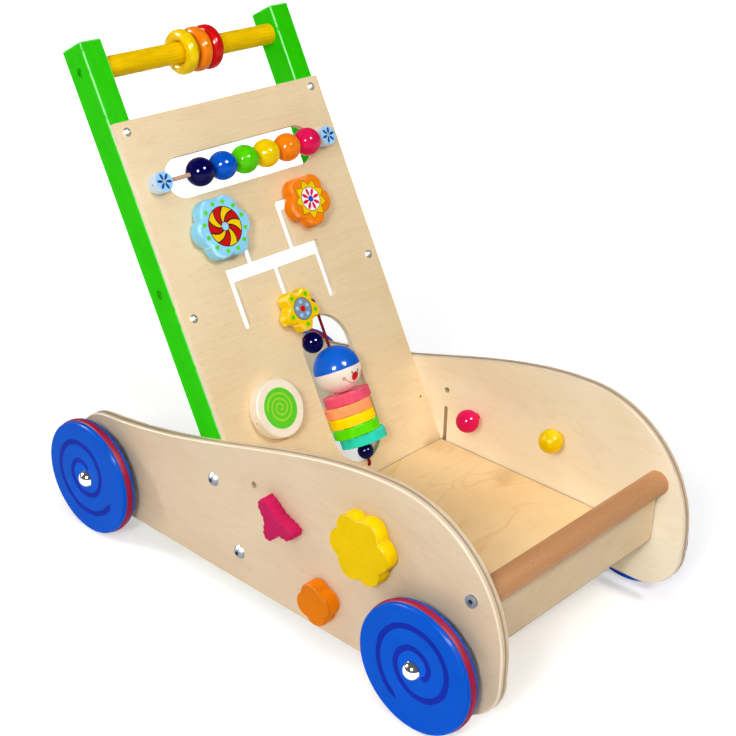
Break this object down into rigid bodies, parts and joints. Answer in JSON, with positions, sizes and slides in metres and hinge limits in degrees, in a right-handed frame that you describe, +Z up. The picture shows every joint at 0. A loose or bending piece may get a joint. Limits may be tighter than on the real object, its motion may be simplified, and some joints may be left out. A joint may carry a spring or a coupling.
{
  "type": "baby push walker",
  "caption": "Wooden push-along toy walker: tray on wheels with a leaning play board, bead abacus, maze sliders, spinning shapes, a threaded doll and a push handle.",
  "frame": {"origin": "on the ground, under the middle of the walker's length and width", "axes": "+X forward, towards the open front of the tray; +Y to the walker's left; +Z up"},
  "size_m": [0.538, 0.3284, 0.4664],
  "materials": {
    "birch_ply": "clear satin lacquer on birch plywood, layered edges",
    "beech": "clear satin lacquer on turned beech",
    "green_lacquer": "bright green gloss lacquer on wood",
    "yellow_lacquer": "yellow gloss lacquer on wood",
    "zinc_steel": "zinc-plated steel",
    "chrome_cap": "polished dome",
    "pale_blue_lacquer": "pale blue satin lacquer on wood",
    "natural_wood": "clear satin lacquer on pale wood",
    "red_cord": "braided cord",
    "navy_lacquer": "navy gloss lacquer on wood",
    "blue_lacquer": "blue gloss lacquer on wood",
    "red_rubber": "smooth red rubber",
    "orange_lacquer": "orange gloss lacquer on wood",
    "red_lacquer": "red gloss lacquer on wood",
    "leaf_lacquer": "green gloss lacquer on wood",
    "pink_lacquer": "pink gloss lacquer on wood",
    "teal_lacquer": "teal gloss lacquer on wood",
    "painted_head": "painted wooden ball with a blue cap and a simple face"
  },
  "bodies": {
    "frame": {"side_panel_right": "birch_ply", "side_panel_left": "birch_ply", "floor_panel": "birch_ply", "front_panel": "birch_ply", "activity_board": "birch_ply", "front_rail": "beech", "post_right": "green_lacquer", "post_left": "green_lacquer", "handle_bar": "yellow_lacquer", "wood_screws": "zinc_steel", "panel_bolts": "zinc_steel", "axles": "zinc_steel", "axle_caps": "chrome_cap", "abacus_knobs": "pale_blue_lacquer", "abacus_rod": "natural_wood", "doll_cord": "red_cord", "cord_beads": "navy_lacquer"},
    "wheel_front_right_body": {"wheel_front_right": "blue_lacquer", "tyre_front_right": "red_rubber"},
    "wheel_front_left_body": {"wheel_front_left": "blue_lacquer", "tyre_front_left": "red_rubber"},
    "wheel_rear_right_body": {"wheel_rear_right": "blue_lacquer", "tyre_rear_right": "red_rubber"},
    "wheel_rear_left_body": {"wheel_rear_left": "blue_lacquer", "tyre_rear_left": "red_rubber"},
    "ring_yellow_body": {"ring_yellow": "yellow_lacquer"},
    "ring_orange_body": {"ring_orange": "orange_lacquer"},
    "ring_red_body": {"ring_red": "red_lacquer"},
    "bead_navy_body": {"bead_navy": "navy_lacquer"},
    "bead_blue_body": {"bead_blue": "blue_lacquer"},
    "bead_green_body": {"bead_green": "leaf_lacquer"},
    "bead_yellow_body": {"bead_yellow": "yellow_lacquer"},
    "bead_orange_body": {"bead_orange": "orange_lacquer"},
    "bead_pink_body": {"bead_pink": "pink_lacquer"},
    "slider_blue_body": {"slider_blue": "pale_blue_lacquer", "keeper_blue": "natural_wood"},
    "slider_orange_body": {"slider_orange": "orange_lacquer", "keeper_orange": "natural_wood"},
    "slider_yellow_body": {"slider_yellow": "yellow_lacquer", "keeper_yellow": "natural_wood"},
    "spiral_knob_body": {"spiral_knob": "natural_wood", "knob_spindle": "natural_wood"},
    "star_right_body": {"shape_star_right": "pink_lacquer", "spindle_star_right": "pink_lacquer"},
    "star_left_body": {"shape_star_left": "pink_lacquer", "spindle_star_left": "pink_lacquer"},
    "flower_right_body": {"shape_flower_right": "yellow_lacquer", "spindle_flower_right": "yellow_lacquer"},
    "flower_left_body": {"shape_flower_left": "yellow_lacquer", "spindle_flower_left": "yellow_lacquer"},
    "clover_right_body": {"shape_clover_right": "orange_lacquer", "spindle_clover_right": "orange_lacquer"},
    "clover_left_body": {"shape_clover_left": "orange_lacquer", "spindle_clover_left": "orange_lacquer"},
    "doll_disc_teal_body": {"doll_disc_teal": "teal_lacquer"},
    "doll_disc_green_body": {"doll_disc_green": "leaf_lacquer"},
    "doll_disc_yellow_body": {"doll_disc_yellow": "yellow_lacquer"},
    "doll_disc_orange_body": {"doll_disc_orange": "orange_lacquer"},
    "doll_disc_pink_body": {"doll_disc_pink": "pink_lacquer"},
    "doll_head_body": {"doll_head": "painted_head"}
  },
  "joints": [
    {"name": "wheel_front_right_body_spin", "type": "hinge", "parent": "frame", "child": "wheel_front_right_body", "pos_m": [0.201, -0.1503, 0.0575], "axis": [0, 1, 0], "continuous": true},
    {"name": "wheel_front_left_body_spin", "type": "hinge", "parent": "frame", "child": "wheel_front_left_body", "pos_m": [0.201, 0.1503, 0.0575], "axis": [0, 1, 0], "continuous": true},
    {"name": "wheel_rear_right_body_spin", "type": "hinge", "parent": "frame", "child": "wheel_rear_right_body", "pos_m": [-0.2115, -0.1503, 0.0575], "axis": [0, 1, 0], "continuous": true},
    {"name": "wheel_rear_left_body_spin", "type": "hinge", "parent": "frame", "child": "wheel_rear_left_body", "pos_m": [-0.2115, 0.1503, 0.0575], "axis": [0, 1, 0], "continuous": true},
    {"name": "ring_yellow_body_slide", "type": "slide", "parent": "frame", "child": "ring_yellow_body", "axis": [0, 1, 0], "range_m": [-0.0842, 0.0036]},
    {"name": "ring_orange_body_slide", "type": "slide", "parent": "frame", "child": "ring_orange_body", "axis": [0, 1, 0], "range_m": [0, 0.0725]},
    {"name": "ring_red_body_slide", "type": "slide", "parent": "frame", "child": "ring_red_body", "axis": [0, 1, 0], "range_m": [0, 0.0725]},
    {"name": "bead_navy_body_slide", "type": "slide", "parent": "frame", "child": "bead_navy_body", "axis": [0, 1, 0], "range_m": [-0.0212, 0]},
    {"name": "bead_blue_body_slide", "type": "slide", "parent": "frame", "child": "bead_blue_body", "axis": [0, 1, 0], "range_m": [-0.0212, 0]},
    {"name": "bead_green_body_slide", "type": "slide", "parent": "frame", "child": "bead_green_body", "axis": [0, 1, 0], "range_m": [-0.0212, 0]},
    {"name": "bead_yellow_body_slide", "type": "slide", "parent": "frame", "child": "bead_yellow_body", "axis": [0, 1, 0], "range_m": [-0.0212, 0]},
    {"name": "bead_orange_body_slide", "type": "slide", "parent": "frame", "child": "bead_orange_body", "axis": [0, 1, 0], "range_m": [-0.0212, 0]},
    {"name": "bead_pink_body_slide", "type": "slide", "parent": "frame", "child": "bead_pink_body", "axis": [0, 1, 0], "range_m": [-0.0212, 0]},
    {"name": "slider_blue_body_slide", "type": "slide", "parent": "frame", "child": "slider_blue_body", "axis": [0, 1, 0], "range_m": [0, 0.0255]},
    {"name": "slider_orange_body_slide", "type": "slide", "parent": "frame", "child": "slider_orange_body", "axis": [0, 1, 0], "range_m": [-0.0255, 0]},
    {"name": "slider_yellow_body_slide", "type": "slide", "parent": "frame", "child": "slider_yellow_body", "axis": [-0.4787, 0, 0.878], "range_m": [0, 0.0455]},
    {"name": "spiral_knob_body_spin", "type": "hinge", "parent": "frame", "child": "spiral_knob_body", "pos_m": [-0.05319, -0.064, 0.15716], "axis": [0.878, 0, 0.4787], "continuous": true},
    {"name": "star_right_body_spin", "type": "hinge", "parent": "frame", "child": "star_right_body", "pos_m": [0.0345, -0.1283, 0.1145], "axis": [0, 1, 0], "continuous": true},
    {"name": "star_left_body_spin", "type": "hinge", "parent": "frame", "child": "star_left_body", "pos_m": [0.0345, 0.1283, 0.1145], "axis": [0, 1, 0], "continuous": true},
    {"name": "flower_right_body_spin", "type": "hinge", "parent": "frame", "child": "flower_right_body", "pos_m": [0.131, -0.1283, 0.131], "axis": [0, 1, 0], "continuous": true},
    {"name": "flower_left_body_spin", "type": "hinge", "parent": "frame", "child": "flower_left_body", "pos_m": [0.131, 0.1283, 0.131], "axis": [0, 1, 0], "continuous": true},
    {"name": "clover_right_body_spin", "type": "hinge", "parent": "frame", "child": "clover_right_body", "pos_m": [0.082, -0.1283, 0.054], "axis": [0, 1, 0], "continuous": true},
    {"name": "clover_left_body_spin", "type": "hinge", "parent": "frame", "child": "clover_left_body", "pos_m": [0.082, 0.1283, 0.054], "axis": [0, 1, 0], "continuous": true},
    {"name": "doll_disc_teal_body_spin", "type": "hinge", "parent": "frame", "child": "doll_disc_teal_body", "pos_m": [-0.02346, 0.0258, 0.10661], "axis": [-0.4787, 0, 0.878], "continuous": true},
    {"name": "doll_disc_green_body_spin", "type": "hinge", "parent": "frame", "child": "doll_disc_green_body", "pos_m": [-0.02844, 0.021, 0.11574], "axis": [-0.4787, 0, 0.878], "continuous": true},
    {"name": "doll_disc_yellow_body_spin", "type": "hinge", "parent": "frame", "child": "doll_disc_yellow_body", "pos_m": [-0.03342, 0.02, 0.12487], "axis": [-0.4787, 0, 0.878], "continuous": true},
    {"name": "doll_disc_orange_body_spin", "type": "hinge", "parent": "frame", "child": "doll_disc_orange_body", "pos_m": [-0.0384, 0.02, 0.134], "axis": [-0.4787, 0, 0.878], "continuous": true},
    {"name": "doll_disc_pink_body_spin", "type": "hinge", "parent": "frame", "child": "doll_disc_pink_body", "pos_m": [-0.04337, 0.0232, 0.14313], "axis": [-0.4787, 0, 0.878], "continuous": true},
    {"name": "doll_head_body_spin", "type": "hinge", "parent": "frame", "child": "doll_head_body", "pos_m": [-0.0565, 0.023, 0.16721], "axis": [-0.4787, 0, 0.878], "continuous": true}
  ],
  "couplings": [
    {"joint": "ring_red_body_slide", "follows": "ring_orange_body_slide", "ratio": 1},
    {"joint": "bead_blue_body_slide", "follows": "bead_navy_body_slide", "ratio": 1},
    {"joint": "bead_green_body_slide", "follows": "bead_navy_body_slide", "ratio": 1},
    {"joint": "bead_yellow_body_slide", "follows": "bead_navy_body_slide", "ratio": 1},
    {"joint": "bead_orange_body_slide", "follows": "bead_navy_body_slide", "ratio": 1},
    {"joint": "bead_pink_body_slide", "follows": "bead_navy_body_slide", "ratio": 1}
  ]
}
